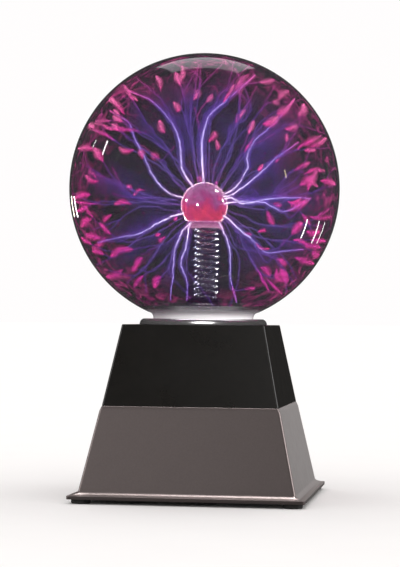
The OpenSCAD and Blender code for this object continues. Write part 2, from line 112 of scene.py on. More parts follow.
def choose(obj, kind, test):
    """Selects the mesh's faces, edges or vertices whose middle passes the test."""
    bpy.ops.object.mode_set(mode="EDIT")
    bpy.ops.mesh.select_mode(type={"faces": "FACE", "edges": "EDGE", "vertices": "VERT"}[kind])
    bpy.ops.mesh.select_all(action="DESELECT")
    bpy.ops.object.mode_set(mode="OBJECT")
    mesh = obj.data
    for item in getattr(mesh, "polygons" if kind == "faces" else kind):
        if kind == "faces":
            middle = item.center
        elif kind == "edges":
            middle = (mesh.vertices[item.vertices[0]].co + mesh.vertices[item.vertices[1]].co) / 2
        else:
            middle = item.co
        item.select = bool(test(item, middle))
    bpy.ops.object.mode_set(mode="EDIT")


def apply_modifier(obj, kind, **values):
    mod = obj.modifiers.new(kind.title(), kind)
    for key, value in values.items():
        setattr(mod, key, value)
    bpy.ops.object.modifier_apply(modifier=mod.name)


def settle(obj, name, materials, replaces=(), smooth=35, body="lamp"):
    """Names a finished piece, puts its place in its mesh, gives it its finish and its body."""
    leave_edit() if obj.mode == "EDIT" else None
    bpy.ops.object.select_all(action="DESELECT")
    obj.select_set(True)
    bpy.context.view_layer.objects.active = obj
    obj.name = name
    obj.data.name = name
    bpy.ops.object.transform_apply(location=True, rotation=True, scale=True)
    if smooth:
        bpy.ops.object.shade_smooth_by_angle(angle=math.radians(smooth))
    old_slots = [p.material_index for p in obj.data.polygons]
    obj.data.materials.clear()
    for mat in materials:
        obj.data.materials.append(mat)
    for poly, index in zip(obj.data.polygons, old_slots):
        poly.material_index = min(index, len(materials) - 1)
    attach(obj, body)
    if replaces:
        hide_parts(*replaces)
    return obj


def face_out():
    """Merges doubles and turns every face outwards; the mesh is in edit mode."""
    bpy.ops.mesh.select_all(action="SELECT")
    bpy.ops.mesh.remove_doubles(threshold=0.00001)
    bpy.ops.mesh.normals_make_consistent(inside=False)


def drawn(outline, segments=96, turn=0.0, closed=False):
    """Draws a ring out along an outline of (radius, height) points, one extrusion a point.

    With four segments, the radius is half the width of a square."""
    start_clean()
    reach = 1 / math.cos(math.pi / 4) if segments == 4 else 1
    radius, height = outline[0]
    bpy.ops.mesh.primitive_circle_add(vertices=segments, radius=radius * reach, location=(0, 0, height),
                                      rotation=(0, 0, turn))
    bpy.ops.object.transform_apply(location=True, rotation=True)
    obj = bpy.context.object
    bpy.ops.object.mode_set(mode="EDIT")
    bpy.ops.mesh.select_all(action="SELECT")
    points = outline[1:] + outline[:1] if closed else outline[1:]
    for new_radius, new_height in points:
        bpy.ops.mesh.extrude_region_move(TRANSFORM_OT_translate={"value": (0, 0, new_height - height)})
        grow = new_radius / radius
        bpy.ops.transform.resize(value=(grow, grow, 1), center_override=(0, 0, new_height))
        radius, height = new_radius, new_height
    face_out()
    leave_edit()
    return obj


def arc(centre_r, centre_z, radius, start, end, steps, squash=1.0):
    """Points on an arc of an outline, from one angle to another in degrees."""
    angles = [math.radians(start + (end - start) * i / steps) for i in range(steps + 1)]
    return [(centre_r + radius * math.cos(a), centre_z + radius * squash * math.sin(a)) for a in angles]


# ---------- materials ----------

def new_material(name):
    mat = bpy.data.materials.new(name)
    mat.use_nodes = True
    return mat, mat.node_tree, mat.node_tree.nodes["Principled BSDF"]


def coordinates(tree, scale=(1, 1, 1)):
    place = tree.nodes.new("ShaderNodeTexCoord")
    mapping = tree.nodes.new("ShaderNodeMapping")
    mapping.inputs["Scale"].default_value = scale
    tree.links.new(place.outputs["Object"], mapping.inputs["Vector"])
    return mapping.outputs["Vector"]


def grain(tree, size, detail=3.0, stretch=(1, 1, 1), rough=0.5):
    """Noise whose spots are about size metres across."""
    tex = tree.nodes.new("ShaderNodeTexNoise")
    tex.inputs["Scale"].default_value = 1 / size
    tex.inputs["Detail"].default_value = detail
    tex.inputs["Roughness"].default_value = rough
    tree.links.new(coordinates(tree, stretch), tex.inputs["Vector"])
    return tex.outputs["Fac"]


def spread(tree, value, low, high, low_in=0.3, high_in=0.7):
    span = tree.nodes.new("ShaderNodeMapRange")
    span.inputs["From Min"].default_value = low_in
    span.inputs["From Max"].default_value = high_in
    span.inputs["To Min"].default_value = low
    span.inputs["To Max"].default_value = high
    tree.links.new(value, span.inputs["Value"])
    return span.outputs["Result"]


def tones(tree, value, stops):
    ramp = tree.nodes.new("ShaderNodeValToRGB")
    ramp.color_ramp.elements[0].position = stops[0][0]
    ramp.color_ramp.elements[0].color = (*stops[0][1], 1)
    ramp.color_ramp.elements[1].position = stops[-1][0]
    ramp.color_ramp.elements[1].color = (*stops[-1][1], 1)
    for place, colour in stops[1:-1]:
        ramp.color_ramp.elements.new(place).color = (*colour, 1)
    tree.links.new(value, ramp.inputs["Fac"])
    return ramp.outputs["Color"]


def relief(tree, bsdf, height, depth, strength=1.0):
    bump = tree.nodes.new("ShaderNodeBump")
    bump.inputs["Strength"].default_value = strength
    bump.inputs["Distance"].default_value = depth
    tree.links.new(height, bump.inputs["Height"])
    tree.links.new(bump.outputs["Normal"], bsdf.inputs["Normal"])


def surface(name, dark, light, rough, metallic=0.0, size=0.004, stretch=(1, 1, 1), depth=0.0,
            bump_size=None, coat=0.0, specular=0.5, detail=3.0, ior=1.5):
    """A finish of two near tones, with roughness and fine relief that vary over it."""
    mat, tree, bsdf = new_material(name)
    fine = grain(tree, size, detail, stretch)
    tree.links.new(tones(tree, fine, [(0.3, dark), (0.7, light)]), bsdf.inputs["Base Color"])
    broad = grain(tree, size * 6, 4.0, stretch)
    tree.links.new(spread(tree, broad, rough[0], rough[1]), bsdf.inputs["Roughness"])
    bsdf.inputs["Metallic"].default_value = metallic
    bsdf.inputs["IOR"].default_value = ior
    bsdf.inputs["Specular IOR Level"].default_value = specular
    bsdf.inputs["Coat Weight"].default_value = coat
    bsdf.inputs["Coat Roughness"].default_value = 0.08
    if depth:
        relief(tree, bsdf, grain(tree, bump_size or size, detail, stretch), depth, 0.6)
    return mat


def height_of(tree):
    split = tree.nodes.new("ShaderNodeSeparateXYZ")
    tree.links.new(coordinates(tree), split.inputs["Vector"])
    return split.outputs["Z"]


def reach_from(tree, point):
    """Distance of each spot from a point, in metres."""
    gap = tree.nodes.new("ShaderNodeVectorMath")
    gap.operation = "DISTANCE"
    gap.inputs[1].default_value = point
    tree.links.new(coordinates(tree), gap.inputs[0])
    return gap.outputs["Value"]


def times(tree, a, b):
    node = tree.nodes.new("ShaderNodeMath")
    node.operation = "MULTIPLY"
    for socket, value in zip(node.inputs, (a, b)):
        if isinstance(value, (int, float)):
            socket.default_value = value
        else:
            tree.links.new(value, socket)
    return node.outputs["Value"]


def smoked_glass():
    """Dark tinted wall that turns into pale grey, clearer glass at the neck."""
    mat, tree, bsdf = new_material("smoked_glass")
    height = height_of(tree)
    neck = spread(tree, height, 0, 1, 0.0992, FLARE_Z - 0.0005)
    tree.links.new(tones(tree, neck, [(0.0, (0.9, 0.88, 0.89)), (0.45, (0.42, 0.4, 0.41)),
                                      (1.0, (0.008, 0.006, 0.012))]), bsdf.inputs["Base Color"])
    smears = grain(tree, 0.03, 5.0)
    tree.links.new(spread(tree, smears, 0.015, 0.05), bsdf.inputs["Roughness"])
    tree.links.new(spread(tree, neck, 0.72, 1 - GLASS_PASS, 0, 1), bsdf.inputs["Alpha"])
    bsdf.inputs["IOR"].default_value = 1.5
    return mat


def bright_glass(name, tint, alpha, rough=0.02):
    mat, tree, bsdf = new_material(name)
    ripple = grain(tree, 0.012, 3.0)
    darker = tuple(c * 0.8 for c in tint)
    tree.links.new(tones(tree, ripple, [(0.3, darker), (0.7, tint)]), bsdf.inputs["Base Color"])
    tree.links.new(spread(tree, ripple, rough, rough + 0.03), bsdf.inputs["Roughness"])
    bsdf.inputs["Alpha"].default_value = alpha
    bsdf.inputs["IOR"].default_value = 1.5
    return mat


def glow(name, stops, strength, alpha, reach=(0.012, 0.080), point=BALL_C, streaks=0.0):
    """Light whose colour runs outwards from the electrode; strength is what is seen outside the globe."""
    mat, tree, bsdf = new_material(name)
    far = spread(tree, reach_from(tree, point), 0, 1, *reach)
    tree.links.new(tones(tree, far, stops), bsdf.inputs["Emission Color"])
    bsdf.inputs["Emission Strength"].default_value = strength / GLASS_PASS
    bsdf.inputs["Base Color"].default_value = (0, 0, 0, 1)
    bsdf.inputs["Specular IOR Level"].default_value = 0.0
    bsdf.inputs["Roughness"].default_value = 1.0
    if streaks:
        wisps = spread(tree, grain(tree, streaks, 3.0), 0.15, 1.0)
        tree.links.new(times(tree, wisps, alpha), bsdf.inputs["Alpha"])
    else:
        bsdf.inputs["Alpha"].default_value = alpha
    return mat


CORE_STOPS = [(0.0, (1.0, 0.75, 0.9)), (0.2, (0.8, 0.68, 1.0)), (0.5, (0.48, 0.4, 0.76)),
              (0.85, (0.3, 0.18, 0.5)), (1.0, (0.7, 0.2, 0.5))]
THREAD_STOPS = [(0.0, (0.3, 0.12, 0.5)), (0.3, (0.26, 0.18, 0.58)), (0.75, (0.2, 0.08, 0.42)),
                (1.0, (0.7, 0.08, 0.4))]
HALO_STOPS = [(0.0, (0.3, 0.08, 0.4)), (0.25, (0.18, 0.1, 0.52)), (0.75, (0.12, 0.04, 0.42)),
              (1.0, (0.7, 0.05, 0.35))]
FLAME_STOPS = [(0.0, (0.25, 0.02, 0.4)), (0.5, (0.5, 0.02, 0.32)), (0.85, (0.85, 0.05, 0.33)),
               (1.0, (1.0, 0.18, 0.46))]


def veil_light():
    """Sheets of violet light; the mesh carries their colour and how they thin out to their edges."""
    mat, tree, bsdf = new_material("veil_light")
    store = tree.nodes.new("ShaderNodeAttribute")
    store.attribute_name = "veil"
    tree.links.new(store.outputs["Color"], bsdf.inputs["Emission Color"])
    bsdf.inputs["Emission Strength"].default_value = 1.0 / GLASS_PASS
    bsdf.inputs["Base Color"].default_value = (0, 0, 0, 1)
    bsdf.inputs["Specular IOR Level"].default_value = 0.0
    wisps = spread(tree, grain(tree, 0.011, 3.0), 0.25, 1.0)
    tree.links.new(times(tree, store.outputs["Alpha"], wisps), bsdf.inputs["Alpha"])
    return mat


def haze_light(name, seed_shift, low, high, alpha):
    """Pink haze under the glass, in patches, thin in the middle of the side on show and its back."""
    mat, tree, bsdf = new_material(name)
    tex = tree.nodes.new("ShaderNodeTexNoise")
    tex.inputs["Scale"].default_value = 85
    tex.inputs["Detail"].default_value = 3.5
    tex.inputs["Distortion"].default_value = 1.2
    place = tree.nodes.new("ShaderNodeTexCoord")
    mapping = tree.nodes.new("ShaderNodeMapping")
    mapping.inputs["Location"].default_value = seed_shift
    tree.links.new(place.outputs["Object"], mapping.inputs["Vector"])
    tree.links.new(mapping.outputs["Vector"], tex.inputs["Vector"])
    patches = spread(tree, tex.outputs["Fac"], 0, 1, low, high)
    forward = tree.nodes.new("ShaderNodeVectorMath")
    forward.operation = "DOT_PRODUCT"
    forward.inputs[1].default_value = SHOW_FRONT
    tree.links.new(place.outputs["Object"], forward.inputs[0])
    depth = tree.nodes.new("ShaderNodeMath")
    depth.operation = "ABSOLUTE"
    tree.links.new(forward.outputs["Value"], depth.inputs[0])
    sides = spread(tree, depth.outputs["Value"], 1.0, 0.04, 0.3 * GLOBE_R, 0.66 * GLOBE_R)
    tree.links.new(tones(tree, patches, [(0.0, (0.16, 0.01, 0.16)), (0.45, (0.6, 0.03, 0.27)),
                                         (1.0, (1.0, 0.12, 0.4))]), bsdf.inputs["Emission Color"])
    bsdf.inputs["Emission Strength"].default_value = 0.62 / GLASS_PASS
    bsdf.inputs["Base Color"].default_value = (0, 0, 0, 1)
    bsdf.inputs["Specular IOR Level"].default_value = 0.0
    tree.links.new(times(tree, times(tree, patches, alpha), sides), bsdf.inputs["Alpha"])
    return mat


def electrode_light():
    mat, tree, bsdf = new_material("electrode_coat")
    level = spread(tree, height_of(tree), 0, 1, BALL_FLAT_Z, BALL_C.z + BALL_R)
    cloud = grain(tree, 0.006, 3.0)
    mix = tree.nodes.new("ShaderNodeMath")
    mix.operation = "MULTIPLY_ADD"
    tree.links.new(cloud, mix.inputs[0])
    mix.inputs[1].default_value = 1.5
    lowered = tree.nodes.new("ShaderNodeMath")
    lowered.operation = "SUBTRACT"
    tree.links.new(level, lowered.inputs[0])
    lowered.inputs[1].default_value = 0.7
    tree.links.new(lowered.outputs["Value"], mix.inputs[2])
    colour = tones(tree, mix.outputs["Value"], [(0.0, (1.0, 0.03, 0.12)), (0.35, (0.75, 0.015, 0.17)),
                                                (0.6, (0.45, 0.04, 0.3)), (1.0, (0.5, 0.25, 0.55))])
    tree.links.new(colour, bsdf.inputs["Emission Color"])
    bsdf.inputs["Emission Strength"].default_value = 0.5 / GLASS_PASS
    bsdf.inputs["Base Color"].default_value = (0.12, 0.01, 0.03, 1)
    bsdf.inputs["Roughness"].default_value = 0.06
    bsdf.inputs["IOR"].default_value = 1.7
    bsdf.inputs["Sheen Weight"].default_value = 1.0
    bsdf.inputs["Sheen Roughness"].default_value = 0.25
    bsdf.inputs["Sheen Tint"].default_value = (1.0, 0.72, 0.82, 1)
    return mat


# ---------- glass ----------

def make_globe():
    start_clean()
    bpy.ops.mesh.primitive_uv_sphere_add(segments=128, ring_count=96, radius=GLOBE_R, location=GLOBE_C)
    bpy.ops.object.transform_apply(location=True)
    globe = bpy.context.object
    blend_r = NECK_R + NECK_BLEND
    cut_z = GLOBE_C.z - math.sqrt(GLOBE_R ** 2 - blend_r ** 2)
    edit()
    bpy.ops.mesh.select_all(action="SELECT")
    bpy.ops.mesh.bisect(plane_co=(0, 0, cut_z), plane_no=(0, 0, 1), clear_inner=True)
    choose(globe, "edges", lambda edge, mid: mid.z < cut_z + 0.0001)
    radius, height = blend_r, cut_z
    neck = arc(blend_r, cut_z - 1.2 * NECK_BLEND, NECK_BLEND, 90, 180, 4, 1.2)[1:] + \
        [(NECK_R, STEM_LOW.z)]
    for new_radius, new_height in neck:
        bpy.ops.mesh.extrude_region_move(TRANSFORM_OT_translate={"value": (0, 0, new_height - height)})
        grow = new_radius / radius
        bpy.ops.transform.resize(value=(grow, grow, 1), center_override=(0, 0, new_height))
        radius, height = new_radius, new_height
    face_out()
    leave_edit()
    smoked = smoked_glass()
    clear = bright_glass("inner_glass", (0.02, 0.018, 0.03), 0.03)
    globe.data.materials.append(smoked)
    globe.data.materials.append(clear)
    apply_modifier(globe, "SOLIDIFY", thickness=GLOBE_WALL, offset=-1, material_offset=1,
                   material_offset_rim=1)
    settle(globe, "globe_glass", [smoked, clear], ["glass_globe"], 60)


def make_stem():
    """Tube with its trumpet flare, drawn down into the sleeve inside the neck; its glass above the flare carries a
    painted navy glow.
    """
    fillet = 5 * MM
    shoulder = 3 * MM
    outline = [(STEM_R, STEM_HIGH.z)]
    outline += arc(STEM_R + fillet, FLARE_Z + fillet, fillet, 180, 270, 8)
    outline += arc(FLARE_R - shoulder, FLARE_Z - shoulder, shoulder, 90, 0, 8)
    outline += [(FLARE_R, STEM_LOW.z)]
    stem = drawn(outline, 96)
    apply_modifier(stem, "SOLIDIFY", thickness=0.9 * MM, offset=-1)
    glass = bright_glass("stem_glass", (0.03, 0.03, 0.09), 0.22)
    tree = glass.node_tree
    painted_glow_bsdf = tree.nodes["Principled BSDF"]
    # Painted glow: the stem glass above the flare gives off a faint navy light, standing in for the plasma light seen
    # inside the tube
    up = spread(tree, height_of(tree), 0, 1, FLARE_Z, FLARE_Z + 6 * MM)
    tree.links.new(tones(tree, up, [(0.0, (0.0, 0.0, 0.0)), (1.0, (0.1, 0.1, 0.36))]),
                   painted_glow_bsdf.inputs["Emission Color"])
    painted_glow_bsdf.inputs["Emission Strength"].default_value = 0.05 / GLASS_PASS
    settle(stem, "stem_glass", [glass], ["stem_tube"], 60)


def make_spring():
    """Coil of round wire, wound at one even pitch from end to end."""
    start_clean()
    wire_r = 0.75 * MM
    coil_r = (SPRING_HIGH.y - SPRING_LOW.y) / 2 - wire_r
    centre_x = (SPRING_HIGH.x + SPRING_LOW.x) / 2
    bottom = SPRING_LOW.z + wire_r
    top = SPRING_HIGH.z - wire_r
    turns = (top - bottom) / (3.35 * MM)
    steps = int(turns * 32)
    curve = bpy.data.curves.new("contact_spring_wire", "CURVE")
    curve.dimensions = "3D"
    curve.bevel_depth = wire_r
    curve.bevel_resolution = 3
    curve.use_fill_caps = True
    spline = curve.splines.new("POLY")
    spline.points.add(steps)
    for i, point in enumerate(spline.points):
        a = 2 * math.pi * turns * i / steps
        point.co = (centre_x + coil_r * math.cos(a), coil_r * math.sin(a),
                    bottom + (top - bottom) * i / steps, 1)
    spring = bpy.data.objects.new("contact_spring_wire", curve)
    bpy.context.collection.objects.link(spring)
    spring.select_set(True)
    bpy.context.view_layer.objects.active = spring
    bpy.ops.object.convert(target="MESH")
    steel = surface("drawn_spring_wire", (0.55, 0.55, 0.58), (0.75, 0.75, 0.78), (0.22, 0.34), 0.6, 0.001)
    settle(bpy.context.object, "spring_coil", [steel], ["contact_spring"], 60)


def flat_ball(radius, flat_z, segments=64):
    start_clean()
    bpy.ops.mesh.primitive_uv_sphere_add(segments=segments, ring_count=segments // 2, radius=radius,
                                         location=BALL_C)
    bpy.ops.object.transform_apply(location=True)
    ball = bpy.context.object
    edit()
    bpy.ops.mesh.select_all(action="SELECT")
    bpy.ops.mesh.bisect(plane_co=(0, 0, flat_z), plane_no=(0, 0, 1), clear_inner=True, use_fill=True)
    face_out()
    leave_edit()
    return ball


def make_electrode():
    core = flat_ball(BALL_R - 0.15 * MM, BALL_FLAT_Z + 0.6 * MM)
    settle(core, "electrode_core", [electrode_light()], ["electrode_ball"], 60)
    skin_light = glow("electrode_skin_light", [(0.0, (1.0, 0.42, 0.62)), (1.0, (1.0, 0.75, 0.9))],
                      1.2, 0.014, (0.010, 0.0135))
    skin_light.node_tree.nodes["Principled BSDF"].inputs["Roughness"].default_value = 0.05
    skin_light.node_tree.nodes["Principled BSDF"].inputs["Specular IOR Level"].default_value = 0.5
    for i, inset in enumerate((0.08 * MM, 0.0)):
        skin = flat_ball(BALL_R - inset, BALL_FLAT_Z + 0.3 * MM * (1 - i))
        settle(skin, f"electrode_skin_{i + 1}", [skin_light], (), 60)
    skirt = drawn([(STEM_R + 0.1 * MM, BALL_FLAT_Z + 0.6 * MM), (STEM_R + 0.3 * MM, BALL_FLAT_Z - 0.6 * MM),
                   (STEM_R + 1.2 * MM, BALL_FLAT_Z - 2.0 * MM), (11.4 * MM, BALL_LOW.z + 0.2 * MM)], 64)
    apply_modifier(skirt, "SOLIDIFY", thickness=0.5 * MM, offset=-1)
    skirt_light = glow("electrode_skirt_light", [(0.0, (0.6, 0.1, 0.4)), (1.0, (1.0, 0.5, 0.75))],
                       0.6, 0.5, (0.013, 0.018))
    settle(skirt, "electrode_skirt", [skirt_light], (), 60)


# ---------- plasma ----------

# Streamers on show, each by the places that it passes, in mm right of and above the globe's middle,
# with its brightness; the last place is on the glass
SHOW_STREAMERS = [
    (1.25, [(-1, 20), (1, 37), (12, 47), (27, 60)]),
    (0.9, [(-12, 10), (-14, 21), (-18, 34), (-28, 46), (-42, 51)]),
    (0.6, [(-21, -2), (-30, 9), (-38, 24), (-42, 34), (-52, 40)]),
    (0.5, [(-18, -9), (-36, -4), (-46, 1), (-58, 4)]),
    (0.85, [(-19, -17), (-28, -22), (-36, -27), (-46, -29), (-58, -32)]),
    (1.0, [(15, -5), (23, -9), (32, -8), (44, -7), (57, -8)]),
    (0.75, [(20, -8), (32, -9), (43, -14), (56, -9)]),
    (0.85, [(14, -17), (23, -26), (29, -31), (36, -36), (54, -35)]),
    (0.8, [(17, -2), (32, 8), (40, 15), (50, 22)]),
    (0.7, [(17, 1), (25, 11), (24, 17), (27, 25), (39, 35), (49, 48)]),
    (0.5, [(8, 8), (15, 20), (14, 30), (25, 42), (16, 64)]),
    (0.45, [(-5, 12), (-8, 30), (-7, 45), (-4, 66)]),
    (0.5, [(-10, 9), (-24, 21), (-34, 28), (-55, 30)]),
    (0.9, [(-9, -22), (-10, -28), (-12, -42), (-9, -52), (-9, -63)]),
    (0.6, [(-12, -25), (-17, -38), (-17, -52), (-18, -63)]),
    (0.6, [(10, -21), (14, -32), (14, -50), (18, -64)]),
    (0.45, [(16, -20), (26, -40), (36, -58)]),
    (0.45, [(-17, -24), (-30, -42), (-42, -54)])
]


def smooth_line(points, steps):
    """A curve through all the points."""
    reach = [points[0] * 2 - points[1]] + points + [points[-1] * 2 - points[-2]]
    line = []
    for i in range(steps + 1):
        at = (len(points) - 1) * i / steps
        k = min(int(at), len(points) - 2)
        t = at - k
        a, b, c, d = reach[k:k + 4]
        line.append((b * 2 + (c - a) * t + (a * 2 - b * 5 + c * 4 - d) * t ** 2
                     + (b * 3 - a - c * 3 + d) * t ** 3) * 0.5)
    return line


def keep_inside(point, inset=0.6 * MM):
    """The point, or the nearest one that is inside the glass, above the flare and clear of the stem."""
    offset = point - GLOBE_C
    limit = INNER_R - inset
    kept = GLOBE_C + offset.normalized() * limit if offset.length > limit else point.copy()
    kept.z = max(kept.z, FLARE_Z + 1 * MM)
    around = Vector((kept.x, kept.y, 0))
    clear = STEM_R + 0.8 * MM
    if kept.z < BALL_LOW.z and 0 < around.length < clear:
        kept += around.normalized() * (clear - around.length)
    return kept


def waver(line, seed, wander):
    """The line with a slow wander and a quick flicker that leave its two ends in place."""
    out = []
    for i, p in enumerate(line):
        loose = math.sin(math.pi * i / (len(line) - 1)) ** 0.6
        slow = noise.noise_vector(Vector((seed, 0, 0)) + p * 45)
        quick = noise.noise_vector(Vector((0, seed, 0)) + p * 210)
        jag = noise.noise_vector(Vector((0, 0, seed)) + p * 620)
        out.append(keep_inside(p + (slow * wander + quick * wander * 0.34 + jag * 0.4 * MM) * loose))
    return out


def on_glass(direction, inset=0.7 * MM):
    """Where a ray from the electrode's middle meets the inside of the globe."""
    offset = BALL_C - GLOBE_C
    along = direction.dot(offset)
    return BALL_C + direction * (-along + math.sqrt(along ** 2 - offset.length_squared
                                                    + (INNER_R - inset) ** 2))


def show_line(places):
    """Places on the side on show, set forward more and more until the last one is on the glass."""
    flat = [SHOW_RIGHT * x * MM + Vector((0, 0, z * MM)) for x, z in places]
    middle = BALL_C - GLOBE_C
    last = flat[-1]
    depth = math.sqrt(max(0, (INNER_R - 0.7 * MM) ** 2 - last.length_squared))
    span = (last - middle).length
    points = [GLOBE_C + f + SHOW_FRONT * depth * ((f - middle).length / span) ** 1.3 for f in flat]
    start = BALL_C + (points[0] - BALL_C).normalized() * (BALL_R + 0.1 * MM)
    return smooth_line([start] + points, 64)


def side_of(direction, rng):
    loose = Vector([rng.uniform(-1, 1) for _ in range(3)])
    return (loose - direction * loose.dot(direction)).normalized()


def streamer_set():
    """Every streamer, as its line and its brightness: trunks first, then their forks."""
    rng = random.Random(11)
    trunks = []
    for n, (bright, places) in enumerate(SHOW_STREAMERS):
        trunks.append((waver(show_line(places), n * 3.7, 1.6 * MM), bright))
    count = 44
    golden = math.pi * (3 - math.sqrt(5))
    for i in range(count):
        z = 1 - 1.7 * (i + 0.5) / count
        flat = math.sqrt(1 - z * z)
        direction = Vector((flat * math.cos(golden * i), flat * math.sin(golden * i), z))
        if direction.dot(SHOW_FRONT) > 0.45:
            continue
        start = BALL_C + direction * (BALL_R + 0.1 * MM)
        end = on_glass(direction)
        bend = side_of(direction, rng) * rng.uniform(2, 9) * MM
        line = smooth_line([start, start.lerp(end, 0.35) + bend, start.lerp(end, 0.7) + bend * 0.4, end], 48)
        trunks.append((waver(line, i * 2.3 + 90, 3.4 * MM), rng.uniform(0.22, 0.5)))
    forks = []
    for n, (trunk, bright) in enumerate(trunks):
        for fork in range(rng.choice((1, 1, 2, 2))):
            at = rng.randint(int(len(trunk) * 0.4), int(len(trunk) * 0.75))
            direction = (trunk[-1] - trunk[at]).normalized()
            end = trunk[-1] + side_of(direction, rng) * rng.uniform(8, 20) * MM
            end = GLOBE_C + (end - GLOBE_C).normalized() * (INNER_R - 0.7 * MM)
            heading = (trunk[at] - trunk[at - 3]).normalized()
            turn = trunk[at] + heading * (end - trunk[at]).length * 0.4
            line = smooth_line([trunk[at], turn.lerp(end, 0.12), end], 28)
            forks.append((waver(line, n * 5.1 + fork + 400, 2.0 * MM), bright * rng.uniform(0.45, 0.8)))
    return trunks, forks


def strands_mesh(name, lines, width, materials_of, sides=2):
    """Tapering round strands along the lines, as one piece; width is each one's radius at a share t."""
    start_clean()
    curve = bpy.data.curves.new(name, "CURVE")
    curve.dimensions = "3D"
    curve.bevel_depth = 1.0
    curve.bevel_resolution = sides
    curve.use_fill_caps = True
    for line, bright in lines:
        spline = curve.splines.new("POLY")
        spline.points.add(len(line) - 1)
        for i, (point, at) in enumerate(zip(spline.points, line)):
            point.co = (*at, 1)
            point.radius = width(i / (len(line) - 1), bright)
    obj = bpy.data.objects.new(name, curve)
    bpy.context.collection.objects.link(obj)
    obj.select_set(True)
    bpy.context.view_layer.objects.active = obj
    bpy.ops.object.convert(target="MESH")
    for v in bpy.context.object.data.vertices:
        v.co = keep_inside(v.co, 0.3 * MM)
    return settle(bpy.context.object, name, materials_of, (), 60)


def resample(line, first, last, count):
    """count points of the line between two shares of its length."""
    out = []
    for i in range(count):
        t = (first + (last - first) * i / (count - 1)) * (len(line) - 1)
        k = min(int(t), len(line) - 2)
        out.append(line[k].lerp(line[k + 1], t - k))
    return out


def make_streamers(trunks, forks):
    bright = [(p, b) for p, b in trunks if b >= 0.55]
    dim = [(p, b) for p, b in trunks if b < 0.55] + forks
    strands_mesh("streamer_cores", bright, lambda t, b: (0.42 - 0.3 * t) * MM * (0.4 + 0.7 * b),
                 [glow("streamer_core_light", CORE_STOPS, 1.6, 0.85)])
    strands_mesh("streamer_threads", dim, lambda t, b: (0.28 - 0.14 * t) * MM * (0.5 + 0.8 * b),
                 [glow("streamer_thread_light", THREAD_STOPS, 0.8, 0.32)])
    for i, (reach, alpha) in enumerate(((0.9, 0.2), (2.2, 0.09))):
        strands_mesh(f"streamer_glow_{i + 1}", bright,
                     lambda t, b: reach * MM * b * (0.45 + 0.7 * math.sin(math.pi * min(1, t + 0.1))),
                     [glow(f"streamer_glow_light_{i + 1}", HALO_STOPS, 1.3, alpha)])
    strands_mesh("thread_glow", dim, lambda t, b: 1.1 * MM * (0.4 + 0.8 * b),
                 [glow("thread_glow_light", HALO_STOPS, 0.6, 0.07)])


def make_flames(trunks, forks):
    """Pink brushes under the glass, where streamers end and between them, in seven nested layers."""
    rng = random.Random(5)
    ends = []
    for line, bright in trunks + forks:
        end = line[-1] - GLOBE_C
        before_stem = abs(end.dot(SHOW_RIGHT)) < 13 * MM and line[-1].z < BALL_LOW.z
        under_box = end.z > 0.8 * INNER_R and end.dot(SHOW_FRONT) > -0.2 * INNER_R
        if rng.random() < 0.62 and not before_stem and not under_box:
            ends.append((resample(line, rng.uniform(0.74, 0.86), 0.99, 15), rng.uniform(0.35, 1.0)))
    count = 64
    golden = math.pi * (3 - math.sqrt(5))
    for i in range(count):
        z = 1 - 1.8 * (i + 0.5) / count
        flat = math.sqrt(1 - z * z)
        direction = Vector((flat * math.cos(golden * i), flat * math.sin(golden * i), z))
        front = direction.dot(SHOW_FRONT)
        before_stem = abs(direction.dot(SHOW_RIGHT)) < 0.17 and direction.z < -0.1
        if abs(front) > 0.94 or before_stem or (direction.z > 0.8 and front > -0.2):
            continue
        tip = GLOBE_C + direction * (INNER_R - 0.8 * MM)
        root = GLOBE_C + direction * (INNER_R - rng.uniform(7, 14) * MM) + side_of(direction, rng) * 3 * MM
        line = smooth_line([root, root.lerp(tip, 0.5) + side_of(direction, rng) * 1.5 * MM, tip], 14)
        ends.append((line, rng.uniform(0.35, 1.0)))
    layers = ((1.0, 0.05), (0.86, 0.06), (0.72, 0.08), (0.58, 0.1), (0.44, 0.14), (0.3, 0.2), (0.16, 0.3))
    for i, (share, alpha) in enumerate(layers):
        strands_mesh(f"contact_flames_{i + 1}", ends,
                     lambda t, b: (0.1 + 3.1 * b * share * math.sin(math.pi * min(0.94, 0.05 + 0.82 * t)) ** 1.1) * MM,
                     [glow(f"contact_flame_light_{i + 1}", FLAME_STOPS, 0.85 + 0.08 * i, alpha, (0.03, 0.078),
                            streaks=0.011)], 3)


